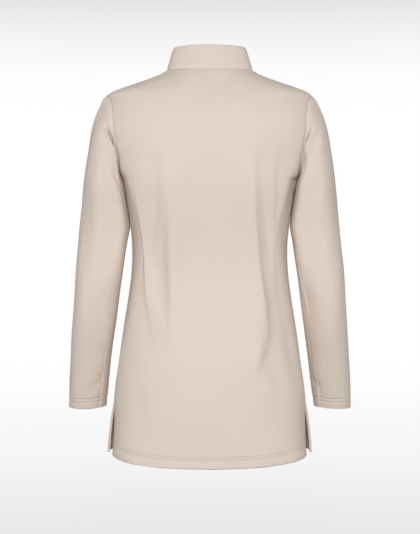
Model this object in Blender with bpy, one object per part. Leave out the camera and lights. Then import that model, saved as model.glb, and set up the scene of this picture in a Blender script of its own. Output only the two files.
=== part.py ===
"""Tunic top in its worn form: hollow, long sleeved, with a stand collar and side slits.

Metres, +Z up. The front faces -Y and the wearer's left is +X. The origin is the middle of the neck
opening, level with the neck ends of the shoulder seams, where the garment hangs from its wearer.
Each panel is a cloth wall laid on one torso form, each sleeve a tube through rings, and the collar
a band standing on the neck seam. The panels share their seam points, then stand a seam gap apart.
"""

import math

import bpy
import numpy as np

NAME = "tunic_top"

# Cloth
WALL = 0.0012
DOUBLE_WALL = 0.0024
SEAM_GAP = 0.0003
HEM_TURN = 0.022
HEM_STEP = 0.002

# Lengths down from the neck ends of the shoulder seams
SHOULDER_TIP_Z = -0.0465
UNDERARM_Z = -0.213
SLIT_TOP_Z = -0.643
HEM_SIDE_Z = -0.754
HEM_CENTRE_Z = {"back": -0.763, "front": -0.758}
TIP_ROW_CENTRE_Z = {"back": -0.072, "front": -0.105}

# Neck opening, seen from above
NECK_HALF_WIDTH = 0.084
NECK_DEPTH = {"back": 0.054, "front": 0.072}

# Stand collar
COLLAR_HEIGHT = 0.0423
COLLAR_BACK_RISE = 0.0052
COLLAR_TAPER = (0.845, 0.80)
COLLAR_CENTRE_Y = -0.012

# Slit edges: the back one lies a little behind the side, the front one curls in and stands wider
SLIT_BACK_EDGE_Y = 0.006
SLIT_FRONT_CURL = 0.0045

# Mesh density
COLUMNS = 28
SLIT_ROWS = 3
SIDE_ROWS = 15
ARMHOLE_ROWS = 12
SHOULDER_ROWS = 8
SLEEVE_RINGS = 23
RING_CROWDING = 1.25
COLLAR_ROWS = 3

# The torso form: one rounded section a row, from the hem up to the neck
TORSO_COLUMNS = (
    "z", "back_half", "front_half", "back_depth", "front_depth", "back_power", "front_power",
)
TORSO_ROWS = (
    (-0.770, 0.1945, 0.2045, 0.1200, 0.1210, 2.60, 2.40),
    (-0.754, 0.1930, 0.2035, 0.1200, 0.1210, 2.60, 2.40),
    (-0.723, 0.1902, 0.2008, 0.1205, 0.1215, 2.50, 2.35),
    (-0.690, 0.1888, 0.1970, 0.1210, 0.1225, 2.40, 2.30),
    (-0.643, 0.1888, 0.1888, 0.1215, 0.1235, 2.30, 2.30),
    (-0.566, 0.1790, 0.1790, 0.1175, 0.1220, 2.30, 2.30),
    (-0.503, 0.1700, 0.1700, 0.1050, 0.1165, 2.30, 2.30),
    (-0.441, 0.1600, 0.1600, 0.0900, 0.1115, 2.30, 2.30),
    (-0.400, 0.1548, 0.1548, 0.0835, 0.1115, 2.30, 2.30),
    (-0.363, 0.1528, 0.1528, 0.0830, 0.1155, 2.35, 2.35),
    (-0.330, 0.1538, 0.1538, 0.0870, 0.1230, 2.40, 2.40),
    (-0.300, 0.1572, 0.1572, 0.0925, 0.1315, 2.50, 2.50),
    (-0.258, 0.1630, 0.1630, 0.1005, 0.1395, 2.60, 2.60),
    (-0.228, 0.1672, 0.1672, 0.1058, 0.1405, 2.70, 2.70),
    (-0.213, 0.1696, 0.1696, 0.1080, 0.1375, 2.70, 2.70),
    (-0.188, 0.1790, 0.1745, 0.1105, 0.1300, 2.60, 2.60),
    (-0.153, 0.1965, 0.1835, 0.1120, 0.1165, 2.45, 2.60),
    (-0.120, 0.2060, 0.1925, 0.1080, 0.1020, 2.35, 2.50),
    (-0.087, 0.2045, 0.1970, 0.1010, 0.0865, 2.30, 2.40),
    (-0.059, 0.1985, 0.1985, 0.0895, 0.0715, 2.25, 2.30),
    (-0.0465, 0.1965, 0.1965, 0.0820, 0.0640, 2.20, 2.30),
    (-0.0415, 0.1880, 0.1880, 0.0791, 0.0610, 2.18, 2.28),
    (-0.036, 0.1730, 0.1730, 0.0757, 0.0578, 2.15, 2.25),
    (-0.027, 0.1465, 0.1465, 0.0700, 0.0525, 2.11, 2.20),
    (-0.018, 0.1205, 0.1205, 0.0643, 0.0462, 2.07, 2.14),
    (-0.009, 0.0975, 0.0975, 0.0584, 0.0390, 2.03, 2.07),
    (0.000, 0.0840, 0.0840, 0.0525, 0.0300, 2.00, 2.00),
)

# Armhole seams seen from the side: the two middle handles of a curve from underarm to shoulder tip
ARMHOLE_HANDLES = {
    "back": ((0.078, -0.211), (0.080, -0.066)),
    "front": ((0.070, -0.211), (0.071, -0.068)),
}

# Sleeve rings: the outer and inner point of each ring, its middle and its half depth front to back
SLEEVE_COLUMNS = ("outer_x", "outer_z", "inner_x", "inner_z", "middle_y", "half_depth")
SLEEVE_ROWS = (
    (0.1965, -0.0465, 0.1696, -0.2130, 0.003, 0.059),
    (0.2042, -0.0540, 0.1700, -0.2143, 0.003, 0.060),
    (0.2118, -0.0680, 0.1700, -0.2158, 0.002, 0.062),
    (0.2222, -0.0900, 0.1699, -0.2180, 0.000, 0.065),
    (0.2308, -0.1180, 0.1692, -0.2213, -0.002, 0.067),
    (0.2385, -0.1600, 0.1682, -0.2270, -0.004, 0.069),
    (0.2450, -0.2020, 0.1667, -0.2360, -0.006, 0.070),
    (0.2500, -0.2460, 0.1641, -0.2540, -0.008, 0.068),
    (0.2535, -0.2820, 0.1601, -0.2830, -0.008, 0.063),
    (0.2560, -0.3050, 0.1584, -0.3050, -0.007, 0.059),
    (0.2588, -0.3350, 0.1630, -0.3350, -0.004, 0.055),
    (0.2628, -0.3780, 0.1690, -0.3780, 0.000, 0.052),
    (0.2670, -0.4410, 0.1778, -0.4410, 0.000, 0.049),
    (0.2724, -0.5040, 0.1862, -0.5040, -0.010, 0.046),
    (0.2784, -0.5695, 0.1968, -0.5695, -0.029, 0.042),
    (0.2844, -0.6364, 0.2059, -0.6364, -0.049, 0.039),
    (0.2863, -0.6726, 0.2106, -0.6702, -0.060, 0.038),
)

# Largest folds, a line each as seen from behind or in front: a positive depth stands out
FOLD_COLUMNS = ("x_top", "z_top", "x_low", "z_low", "half_width", "depth")
BACK_FOLDS = (
    (0.156, -0.140, 0.143, -0.300, 0.008, -0.0030),
    (0.091, -0.150, 0.112, -0.385, 0.011, -0.0050),
    (0.070, -0.200, 0.069, -0.530, 0.009, 0.0035),
    (0.090, -0.400, 0.080, -0.525, 0.008, -0.0040),
    (0.146, -0.420, 0.088, -0.580, 0.009, -0.0045),
    (0.126, -0.420, 0.084, -0.525, 0.010, 0.0035),
    (0.136, -0.625, 0.118, -0.720, 0.010, -0.0030),
    (-0.019, -0.330, -0.033, -0.520, 0.011, -0.0025),
    (-0.090, -0.160, -0.134, -0.405, 0.011, -0.0050),
    (-0.117, -0.165, -0.139, -0.370, 0.009, 0.0030),
    (-0.109, -0.370, -0.090, -0.580, 0.012, -0.0045),
)
FRONT_FOLDS = (
    (-0.120, -0.280, -0.086, -0.430, 0.010, -0.0040),
    (-0.060, -0.300, -0.052, -0.520, 0.012, 0.0035),
    (-0.140, -0.430, -0.096, -0.590, 0.011, -0.0040),
    (0.118, -0.285, 0.092, -0.450, 0.011, -0.0040),
    (0.066, -0.310, 0.074, -0.500, 0.011, 0.0035),
    (0.138, -0.425, 0.104, -0.560, 0.010, -0.0040),
    (0.010, -0.360, 0.018, -0.540, 0.013, -0.0025),
    (0.128, -0.640, 0.116, -0.740, 0.011, -0.0030),
)
LEFT_SLEEVE_FOLDS = (
    (0.199, -0.110, 0.183, -0.162, 0.005, -0.0040),
    (0.205, -0.165, 0.176, -0.215, 0.008, -0.0030),
    (0.238, -0.230, 0.249, -0.420, 0.009, -0.0035),
    (0.206, -0.440, 0.204, -0.570, 0.010, -0.0035),
)
RIGHT_SLEEVE_FOLDS = (
    (-0.200, -0.120, -0.180, -0.165, 0.005, -0.0040),
    (-0.215, -0.190, -0.196, -0.250, 0.008, -0.0030),
    (-0.186, -0.345, -0.200, -0.600, 0.010, -0.0040),
    (-0.240, -0.400, -0.246, -0.560, 0.010, 0.0030),
)
FOLD_EDGE_FADE = 0.16
FOLD_END_POWER = 0.7
FOLD_BEHIND_GAIN = 2
SLEEVE_FADE_RINGS = 2

# How far down the sleeve its rings keep the armhole's shape, as a row of its table
ARMHOLE_FADE_ROW = 5

# The sleeves' inner sides lie against the body a little in front of its side seams: how far, and
# where along the sleeve this is reached and where it begins and ends fading
INNER_LEAN = 0.016
INNER_LEAN_REACHED = 0.10
INNER_LEAN_FADE = (0.24, 0.33)

# Solving and finish of the mesh
SHOULDER_LOWEST_Z = -0.13
HALVINGS = 40
LEAST_MITRE = 0.4
SHARP_EDGE = math.radians(40)

# Cloth finish
CLOTH_COLOUR = (0.735, 0.630, 0.560, 1.0)
CLOTH_ROUGHNESS = 0.72


def table_curve(columns, rows, along, name):
    """A smooth curve of one column of a table against the numbers in along."""
    values = np.array(rows)[:, columns.index(name)]
    slopes = np.gradient(values, along)

    def curve(at):
        at = np.clip(at, along[0], along[-1])
        row = np.clip(np.searchsorted(along, at, side="right") - 1, 0, len(along) - 2)
        step = along[row + 1] - along[row]
        t = (at - along[row]) / step
        start = (1 + 2 * t) * (1 - t) ** 2 * values[row] + t * (1 - t) ** 2 * step * slopes[row]
        end = t * t * (3 - 2 * t) * values[row + 1] + t * t * (t - 1) * step * slopes[row + 1]
        return start + end

    return curve


TORSO_Z = np.array(TORSO_ROWS)[:, 0]
TORSO = {name: table_curve(TORSO_COLUMNS, TORSO_ROWS, TORSO_Z, name) for name in TORSO_COLUMNS[1:]}


def section(side, z):
    """Half width, depth and roundness power of the torso form's section at the height z."""
    return TORSO[side + "_half"](z), TORSO[side + "_depth"](z), TORSO[side + "_power"](z)


def form_point(side, turn, z):
    """The point of the form at a turn of 0 on the side and a quarter circle on the centre line."""
    half, depth, power = section(side, z)
    x = half * np.maximum(np.cos(turn), 0) ** (2 / power)
    y = depth * np.maximum(np.sin(turn), 0) ** (2 / power)
    return x, y


def turn_at(side, y, z):
    """The turn at which the form's section at z has the depth y."""
    _, depth, power = section(side, z)
    return np.arcsin(np.clip(y / depth, 0, 1) ** (power / 2))


def form_height(side, x, y):
    """The height of the form above the point x, y of its shoulders, found by halving."""
    low = np.full(np.shape(x), SHOULDER_LOWEST_Z)
    high = np.zeros(np.shape(x))
    for _ in range(HALVINGS):
        middle = (low + high) / 2
        half, depth, power = section(side, middle)
        outside = (x / half) ** power + (y / depth) ** power > 1
        high = np.where(outside, middle, high)
        low = np.where(outside, low, middle)
    return (low + high) / 2


def armhole(side, share):
    """Depth and height of an armhole seam, from the underarm at 0 to the shoulder tip at 1."""
    (y_low, z_low), (y_high, z_high) = ARMHOLE_HANDLES[side]
    first = 3 * (1 - share) ** 2 * share
    second = 3 * (1 - share) * share**2
    y = first * y_low + second * y_high
    z = (1 - share) ** 3 * UNDERARM_Z + first * z_low + second * z_high + share**3 * SHOULDER_TIP_Z
    return y, z


def panel_rows(side):
    """For each row below the shoulders: its edge's depth and height and its centre's height."""
    turned = (HEM_TURN - HEM_STEP, HEM_TURN)
    levels = [HEM_SIDE_Z] + [HEM_SIDE_Z + up for up in turned]
    levels += list(np.linspace(levels[-1], SLIT_TOP_Z, SLIT_ROWS + 1)[1:])
    rows = []
    for z in levels:
        open_share = (SLIT_TOP_Z - z) / (SLIT_TOP_Z - HEM_SIDE_Z)
        edge_y = SLIT_BACK_EDGE_Y * open_share if side == "back" else 0.0
        rows.append((edge_y, z, z + (HEM_CENTRE_Z[side] - HEM_SIDE_Z) * open_share))
    for z in np.linspace(SLIT_TOP_Z, UNDERARM_Z, SIDE_ROWS + 1)[1:]:
        rows.append((0.0, z, z))
    for share in np.linspace(0, 1, ARMHOLE_ROWS + 1)[1:]:
        y, z = armhole(side, share)
        rows.append((y, z, UNDERARM_Z + share * (TIP_ROW_CENTRE_Z[side] - UNDERARM_Z)))
    return rows


def half_panel(side):
    """Points of the +X half of a panel, a row for each height, from the edge to the centre line."""
    spread = np.linspace(0, 1, COLUMNS // 2 + 1)
    grid = []
    for edge_y, edge_z, centre_z in panel_rows(side):
        edge_turn = turn_at(side, edge_y, edge_z)
        z = edge_z + (centre_z - edge_z) * np.sin(spread * math.pi / 2) ** 2
        x, y = form_point(side, edge_turn + (math.pi / 2 - edge_turn) * spread, z)
        grid.append(np.stack([x, y, z], axis=1))
    tip_row = grid[-1]
    neck_x = NECK_HALF_WIDTH * np.cos(spread * math.pi / 2)
    neck_y = NECK_DEPTH[side] * np.sin(spread * math.pi / 2)
    for share in np.linspace(0, 1, SHOULDER_ROWS + 1)[1:]:
        x = tip_row[:, 0] + (neck_x - tip_row[:, 0]) * share
        y = tip_row[:, 1] + (neck_y - tip_row[:, 1]) * share
        grid.append(np.stack([x, y, form_height(side, x, y)], axis=1))
    return np.array(grid)


def grid_normals(points, closed=False):
    """Outward normals of a grid whose columns turn left around its rows' direction."""
    if closed:
        across = np.roll(points, -1, axis=1) - np.roll(points, 1, axis=1)
    else:
        across = np.gradient(points, axis=1)
    normals = np.cross(across, np.gradient(points, axis=0))
    return normals / np.maximum(np.linalg.norm(normals, axis=2, keepdims=True), 1e-9)


def fold_height(points, folds):
    """How far the folds lift or sink each point, from its distance to each fold's line."""
    height = np.zeros(points.shape[:-1])
    for row in folds:
        fold = dict(zip(FOLD_COLUMNS, row))
        run = np.array([fold["x_low"] - fold["x_top"], fold["z_low"] - fold["z_top"]])
        length = np.hypot(*run)
        offset = points[..., (0, 2)] - (fold["x_top"], fold["z_top"])
        along = np.clip(offset @ run / length**2, 0, 1)
        across = (offset[..., 0] * run[1] - offset[..., 1] * run[0]) / length
        bell = np.exp(-0.5 * (across / fold["half_width"]) ** 2)
        height += fold["depth"] * bell * np.sin(math.pi * along) ** FOLD_END_POWER
    return height


def smooth_step(value):
    value = np.clip(value, 0, 1)
    return value * value * (3 - 2 * value)


def panel(side, folds):
    """A whole panel, its columns running left around the body as seen from above."""
    half = half_panel(side)
    if side == "front":
        open_share = np.clip((SLIT_TOP_Z - half[:, 0, 2]) / (SLIT_TOP_Z - HEM_SIDE_Z), 0, 1)
        half[:, 0, 0] -= SLIT_FRONT_CURL * open_share
    whole = np.concatenate([half, half[:, -2::-1] * (-1, 1, 1)], axis=1)
    if side == "front":
        whole = whole[:, ::-1] * (1, -1, 1)
    spread = np.abs(np.linspace(-1, 1, COLUMNS + 1))
    fade = smooth_step((1 - spread) / FOLD_EDGE_FADE)
    lift = fold_height(whole, folds) * fade
    return whole + grid_normals(whole) * lift[..., None]


def armhole_ring(back, front, left):
    """The armhole seam's points, from the underarm up behind to the tip and down in front."""
    first = len(back) - 1 - SHOULDER_ROWS - ARMHOLE_ROWS
    last = first + ARMHOLE_ROWS
    behind = back[first : last + 1, 0 if left else -1]
    ahead = front[first : last + 1, -1 if left else 0]
    return np.concatenate([behind, ahead[-2:0:-1]])


def ring_stations():
    """Where along the sleeve each ring lies: closer at the shoulder, with a close pair at the cuff."""
    rows = np.array(SLEEVE_ROWS)
    steps = np.hypot(np.diff(rows[:, 0]), np.diff(rows[:, 1]))
    along = np.concatenate([[0], np.cumsum(steps)])
    turn = along[-1] - HEM_TURN
    spread = np.linspace(0, 1, SLEEVE_RINGS) ** RING_CROWDING
    return along, np.append(turn * spread, [turn + HEM_STEP, along[-1]])


def inner_lean(stations):
    """How far forward each ring's inner side lies."""
    begin, end = INNER_LEAN_FADE
    reached = smooth_step(stations / INNER_LEAN_REACHED)
    return INNER_LEAN * reached * smooth_step((end - stations) / (end - begin))


def sleeve(ring, folds, left):
    """A sleeve: its first ring is the armhole seam, which fades into rounded rings down the arm."""
    along, stations = ring_stations()
    size = {
        name: table_curve(SLEEVE_COLUMNS, SLEEVE_ROWS, along, name)(stations)
        for name in SLEEVE_COLUMNS
    }
    turn = np.linspace(0, 2 * math.pi, len(ring), endpoint=False)
    middle_x = (size["outer_x"] + size["inner_x"]) / 2
    middle_z = (size["outer_z"] + size["inner_z"]) / 2
    x = middle_x[:, None] - np.outer(size["outer_x"] - middle_x, np.cos(turn))
    z = middle_z[:, None] - np.outer(size["outer_z"] - middle_z, np.cos(turn))
    y = size["middle_y"][:, None] + np.outer(size["half_depth"], np.sin(turn))
    y -= np.outer(inner_lean(stations), np.maximum(np.cos(turn), 0) ** 2)
    rings = np.stack([x if left else -x, y, z], axis=2)
    fade = 1 - smooth_step(stations / along[ARMHOLE_FADE_ROW])
    rings += (ring - rings[0]) * fade[:, None, None]
    if not left:
        rings = rings[:, ::-1]
    normals = grid_normals(rings, closed=True)
    behind = np.clip(normals[..., 1] * FOLD_BEHIND_GAIN, 0, 1)
    begin = smooth_step(np.arange(len(stations)) / SLEEVE_FADE_RINGS)
    lift = fold_height(rings, folds) * behind * begin[:, None]
    return rings + normals * lift[..., None]


def collar(back, front):
    """The collar's rings, from the neck seam up, each a little smaller and further forward."""
    seam = np.concatenate([back[-1, :-1], front[-1, :-1]])
    centre = np.array([0.0, COLLAR_CENTRE_Y])
    behind = np.clip(seam[:, 1] / NECK_DEPTH["back"], 0, 1)
    rings = []
    for share in np.linspace(0, 1, COLLAR_ROWS + 1):
        ring = seam.copy()
        ring[:, :2] = centre + (seam[:, :2] - centre) * (1 - (1 - np.array(COLLAR_TAPER)) * share)
        ring[:, 2] += share * (COLLAR_HEIGHT + COLLAR_BACK_RISE * behind)
        rings.append(ring)
    return np.array(rings)


def cells(rows, columns, closed):
    """The four corners of each cell of a grid, in outward order."""
    for row in range(rows - 1):
        for column in range(columns if closed else columns - 1):
            beside = (column + 1) % columns
            low = row * columns
            high = low + columns
            yield low + column, low + beside, high + beside, high + column


def edge_loops(rows, columns, closed):
    """The rim of a grid, with the cloth on its left: one loop, or two on a tube."""
    numbers = np.arange(rows * columns).reshape(rows, columns)
    if closed:
        return [list(numbers[0]), list(numbers[-1, ::-1])]
    loop = [*numbers[0], *numbers[1:, -1], *numbers[-1, -2::-1], *numbers[-2:0:-1, 0]]
    return [loop]


def seam_key(point):
    return tuple(np.round(point, 6) + 0.0)


def shared_normals(pieces):
    """Outward normals weighted by corner angle, summed over all the pieces that meet at a point."""
    total = {}
    for points, closed, _ in pieces.values():
        flat = points.reshape(-1, 3)
        for corners in cells(points.shape[0], points.shape[1], closed):
            for place, corner in enumerate(corners):
                back_arm = flat[corners[place - 1]] - flat[corner]
                next_arm = flat[corners[(place + 1) % 4]] - flat[corner]
                normal = np.cross(next_arm, back_arm)
                size = np.linalg.norm(normal)
                angle = math.atan2(size, float(next_arm @ back_arm))
                key = seam_key(flat[corner])
                total[key] = total.get(key, 0) + normal / max(size, 1e-12) * angle
    return {key: normal / np.linalg.norm(normal) for key, normal in total.items()}


def unit(vector):
    return vector / max(np.linalg.norm(vector), 1e-12)


def draw_back(points, normals, loops):
    """Moves the rim in by half the seam gap, square to the seam, mitred at corners."""
    moved = points.copy()
    for loop in loops:
        for place, here in enumerate(loop):
            before = points[loop[place - 1]]
            after = points[loop[(place + 1) % len(loop)]]
            first = unit(np.cross(normals[here], points[here] - before))
            second = unit(np.cross(normals[here], after - points[here]))
            mitre = max(1 + float(first @ second), LEAST_MITRE)
            moved[here] += (first + second) * (SEAM_GAP / 2 / mitre)
    return moved


def cloth_material(name):
    material = bpy.data.materials.new(name + "_cloth")
    material.use_nodes = True
    shader = material.node_tree.nodes["Principled BSDF"]
    shader.inputs["Base Color"].default_value = CLOTH_COLOUR
    shader.inputs["Roughness"].default_value = CLOTH_ROUGHNESS
    shader.inputs["Metallic"].default_value = 0.0
    return material


def add_wall(name, piece, normal_at, collection):
    """Makes one piece of cloth: its outer face, its inner face a wall's depth in, and its rim."""
    grid, closed, depth = piece
    rows, columns = grid.shape[:2]
    flat = grid.reshape(-1, 3)
    normals = np.array([normal_at[seam_key(point)] for point in flat])
    loops = edge_loops(rows, columns, closed)
    outer = draw_back(flat, normals, loops)
    inner = outer - normals * np.repeat(depth, columns)[:, None]
    count = len(outer)
    faces = []
    for corners in cells(rows, columns, closed):
        faces.append(corners)
        faces.append(tuple(corner + count for corner in reversed(corners)))
    for loop in loops:
        for place, here in enumerate(loop):
            after = loop[(place + 1) % len(loop)]
            faces.append((after, here, here + count, after + count))
    mesh = bpy.data.meshes.new(name)
    numbers = [[int(corner) for corner in face] for face in faces]
    mesh.from_pydata(np.concatenate([outer, inner]).tolist(), [], numbers)
    mesh.validate()
    mesh.shade_smooth()
    mesh.set_sharp_from_angle(angle=SHARP_EDGE)
    mesh.materials.append(cloth_material(name))
    collection.objects.link(bpy.data.objects.new(name, mesh))


def panel_depths(rows):
    """Wall depth of each row of a panel: the hem is turned up, so it is double."""
    depths = np.full(rows, WALL)
    depths[:2] = DOUBLE_WALL
    return depths


def sleeve_depths(rings):
    depths = np.full(rings, WALL)
    depths[-2:] = DOUBLE_WALL
    return depths


def build():
    for old in list(bpy.data.objects):
        bpy.data.objects.remove(old)
    collection = bpy.data.collections.new(NAME)
    bpy.context.scene.collection.children.link(collection)

    back = panel("back", BACK_FOLDS)
    front = panel("front", FRONT_FOLDS)
    left = sleeve(armhole_ring(back, front, True), LEFT_SLEEVE_FOLDS, True)
    right = sleeve(armhole_ring(back, front, False), RIGHT_SLEEVE_FOLDS, False)
    band = collar(back, front)
    pieces = {
        "back_panel": (back, False, panel_depths(len(back))),
        "front_panel": (front, False, panel_depths(len(front))),
        "left_sleeve": (left, True, sleeve_depths(len(left))),
        "right_sleeve": (right, True, sleeve_depths(len(right))),
        "collar": (band, True, np.full(len(band), DOUBLE_WALL)),
    }
    normal_at = shared_normals(pieces)
    for name, piece in pieces.items():
        add_wall(name, piece, normal_at, collection)


build()
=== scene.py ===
"""The looks of the tunic top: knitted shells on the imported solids, their sewing, light and camera.

Metres, +Z up, in the frame of the solids: the front faces -Y and the wearer's left is +X. Each shell
is made from the same named sizes as its solid, with finer cells, the creases, seams and hems. The
tables of the torso, sleeves, creases and folds have their lengths in millimetres.
"""

import math

import bpy
import numpy as np
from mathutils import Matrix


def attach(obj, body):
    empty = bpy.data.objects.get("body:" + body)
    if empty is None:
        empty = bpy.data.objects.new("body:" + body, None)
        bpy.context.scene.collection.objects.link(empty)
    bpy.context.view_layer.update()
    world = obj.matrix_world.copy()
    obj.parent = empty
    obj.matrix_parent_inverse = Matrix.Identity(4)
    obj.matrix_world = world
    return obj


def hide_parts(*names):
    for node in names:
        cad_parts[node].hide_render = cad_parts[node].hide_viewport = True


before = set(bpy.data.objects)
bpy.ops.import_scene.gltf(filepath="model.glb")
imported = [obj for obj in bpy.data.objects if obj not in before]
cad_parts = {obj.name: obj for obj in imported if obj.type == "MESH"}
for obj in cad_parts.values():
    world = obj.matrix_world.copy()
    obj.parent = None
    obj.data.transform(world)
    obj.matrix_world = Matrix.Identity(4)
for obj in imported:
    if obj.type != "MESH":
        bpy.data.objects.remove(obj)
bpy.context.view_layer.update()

# Cloth
WALL = 0.0012
DOUBLE_WALL = 0.0024
SEAM_GAP = 0.0003

# Lengths down from the neck ends of the shoulder seams
SHOULDER_TIP_Z = -0.0465
UNDERARM_Z = -0.213
SLIT_TOP_Z = -0.643
HEM_SIDE_Z = -0.754
HEM_CENTRE_Z = {"back": -0.763, "front": -0.758}
TIP_ROW_CENTRE_Z = {"back": -0.072, "front": -0.105}

# Neck opening, seen from above
NECK_HALF_WIDTH = 0.084
NECK_DEPTH = {"back": 0.054, "front": 0.072}

# Stand collar
COLLAR_HEIGHT = 0.0423
COLLAR_BACK_RISE = 0.0052
COLLAR_TAPER = (0.845, 0.80)
COLLAR_CENTRE_Y = -0.012

# Slit edges: the back one lies a little behind the side, the front one curls in and stands wider
SLIT_BACK_EDGE_Y = 0.006
SLIT_FRONT_CURL = 0.0045
SLIT_BACK_STEP = 0.0025
SLIT_STEP_LENGTH = 0.020
SLIT_STEP_WIDTH = 0.012

# The torso form: one rounded section a row, from the hem up to the neck
TORSO_COLUMNS = (
    "z", "back_half", "front_half", "back_depth", "front_depth", "back_power", "front_power",
)
TORSO_LENGTHS = 5
TORSO_ROWS = (
    (-770, 194.5, 204.5, 120, 121, 2.60, 2.40),
    (-754, 193, 203.5, 120, 121, 2.60, 2.40),
    (-723, 190.2, 200.8, 120.5, 121.5, 2.50, 2.35),
    (-690, 188.8, 197, 121, 122.5, 2.40, 2.30),
    (-643, 188.8, 188.8, 121.5, 123.5, 2.30, 2.30),
    (-566, 179, 179, 117.5, 122, 2.30, 2.30),
    (-503, 170, 170, 105, 116.5, 2.30, 2.30),
    (-441, 160, 160, 90, 111.5, 2.30, 2.30),
    (-400, 154.8, 154.8, 83.5, 111.5, 2.30, 2.30),
    (-363, 152.8, 152.8, 83, 115.5, 2.35, 2.35),
    (-330, 153.8, 153.8, 87, 123, 2.40, 2.40),
    (-300, 157.2, 157.2, 92.5, 131.5, 2.50, 2.50),
    (-258, 163, 163, 100.5, 139.5, 2.60, 2.60),
    (-228, 167.2, 167.2, 105.8, 140.5, 2.70, 2.70),
    (-213, 169.6, 169.6, 108, 137.5, 2.70, 2.70),
    (-188, 179, 174.5, 110.5, 130, 2.60, 2.60),
    (-153, 196.5, 183.5, 112, 116.5, 2.45, 2.60),
    (-120, 206, 192.5, 108, 102, 2.35, 2.50),
    (-87, 204.5, 197, 101, 86.5, 2.30, 2.40),
    (-59, 198.5, 198.5, 89.5, 71.5, 2.25, 2.30),
    (-46.5, 196.5, 196.5, 82, 64, 2.20, 2.30),
    (-41.5, 188, 188, 79.1, 61, 2.18, 2.28),
    (-36, 173, 173, 75.7, 57.8, 2.15, 2.25),
    (-27, 146.5, 146.5, 70, 52.5, 2.11, 2.20),
    (-18, 120.5, 120.5, 64.3, 46.2, 2.07, 2.14),
    (-9, 97.5, 97.5, 58.4, 39, 2.03, 2.07),
    (0, 84, 84, 52.5, 30, 2.00, 2.00),
)
SHOULDER_LOWEST_Z = -0.13
HALVINGS = 40

# Armhole seams seen from the side: the two middle handles of a curve from underarm to shoulder tip
ARMHOLE_HANDLES = {
    "back": ((0.078, -0.211), (0.080, -0.066)),
    "front": ((0.070, -0.211), (0.071, -0.068)),
}

# Sleeve rings: the outer and inner point of each ring, its middle and its half depth front to back
SLEEVE_COLUMNS = ("outer_x", "outer_z", "inner_x", "inner_z", "middle_y", "half_depth")
SLEEVE_ROWS = (
    (196.5, -46.5, 169.6, -213, 3, 59),
    (204.2, -54, 170, -214.3, 3, 60),
    (211.8, -68, 170, -215.8, 2, 62),
    (222.2, -90, 169.9, -218, 0, 65),
    (230.8, -118, 169.2, -221.3, -2, 67),
    (238.5, -160, 168.2, -227, -4, 69),
    (245, -202, 166.7, -236, -6, 70),
    (250, -246, 164.1, -254, -8, 68),
    (253.5, -282, 160.1, -283, -8, 63),
    (256, -305, 158.4, -305, -7, 59),
    (258.8, -335, 163, -335, -4, 55),
    (262.8, -378, 169, -378, 0, 52),
    (267, -441, 177.8, -441, 0, 49),
    (272.4, -504, 186.2, -504, -10, 46),
    (278.4, -569.5, 196.8, -569.5, -29, 42),
    (284.4, -636.4, 205.9, -636.4, -49, 39),
    (286.3, -672.6, 210.6, -670.2, -60, 38),
)
ARMHOLE_FADE_ROW = 5
SLEEVE_SEAM_TURN = math.radians(46)

# The sleeves' inner sides lie against the body a little in front of its side seams. The powers say
# how close to the innermost point of a ring the lean stays.
INNER_LEAN = 0.016
INNER_LEAN_REACHED = 0.10
INNER_LEAN_FADE = (0.24, 0.33)
INNER_LEAN_POWERS = {"behind": 6, "ahead": 2}

# Behind, the sleeves' inner corners are full, so that they meet the body in a narrow valley
INNER_CORNER_POWER = 6.0
INNER_CORNER_REACHED = 0.10
INNER_CORNER_FADE = (0.28, 0.42)

# The back's corners beside the sleeves are full in the same way, and fade in and out at these heights
BACK_CORNER_EXTRA = 2.0
BACK_CORNER_FADES = ((-0.255, -0.165), (-0.540, -0.330))

# Mesh cells: their usual size, and the fine steps beside a seam or an edge
CELL = 0.0038
ARMHOLE_CELLS = {"back": 0.0015, "front": 0.0030}
ARMHOLE_CELLS_REACH = 0.11
FINE_STEPS = (0.0004, 0.0009, 0.0016, 0.0027, 0.0045)
STITCH_CELL = 0.0005
HALF_PANEL_WIDTH = 0.245
ARMHOLE_LENGTH = 0.19
SHOULDER_LENGTH = 0.105
COLLAR_CELL = 0.0024
RIM_ANGLES = np.radians([36, 72, 108, 144])
SAME_POINT_DIGITS = 6
MITRE_LIMIT = 0.4

# Sewing. A groove is a depth and a width. The armhole seams sink in deeper beside the armpits, the
# neck seam is shallower near the middle of the back, and the sleeve seams fade above the cuffs.
SEAM_GROOVE = (0.0012, 0.0013)
STITCH_GROOVE = (0.0009, 0.0009)
TUCKS = {"panel": (0.0055, 0.0012), "sleeve": (0.0055, 0.0019)}
TUCK_TOP_Z = -0.146
TUCK_FADE = 0.020
NECK_GROOVE = (0.0010, 0.0024)
NECK_SHALLOW_X = -0.012
NECK_SHALLOW_WIDTH = 0.020
NECK_SHALLOWING = 0.6
SLEEVE_SEAM_LEFT = 0.2
SLEEVE_SEAM_FADE = (0.03, 0.10)
HEM_STITCH_LINES = (0.017, 0.022)
CUFF_STITCH_LINES = (0.015, 0.022)
SLIT_STITCH_LINE = 0.007
SLIT_STITCH_FIRST_ROW = 3
SLIT_FADE_ROWS = 4
HEM_TURN = 0.024
SLIT_TURN = 0.010
STITCH_PITCH = 0.0032
STITCH_LENGTH = 0.0026
THREAD_RADIUS = 0.00024
THREAD_SIDES = 6
THREAD_LIFTS = (-0.5, 0.55, 0.8, 0.55, -0.5)
THREAD_SWELLS = (0.45, 0.95, 1.0, 0.95, 0.45)

# The faces that close a thread's two ends: the ring, and which four of its six points
THREAD_ENDS = ((0, (0, 3, 2, 1)), (0, (0, 5, 4, 3)), (4, (0, 1, 2, 3)), (4, (0, 3, 4, 5)))

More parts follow.
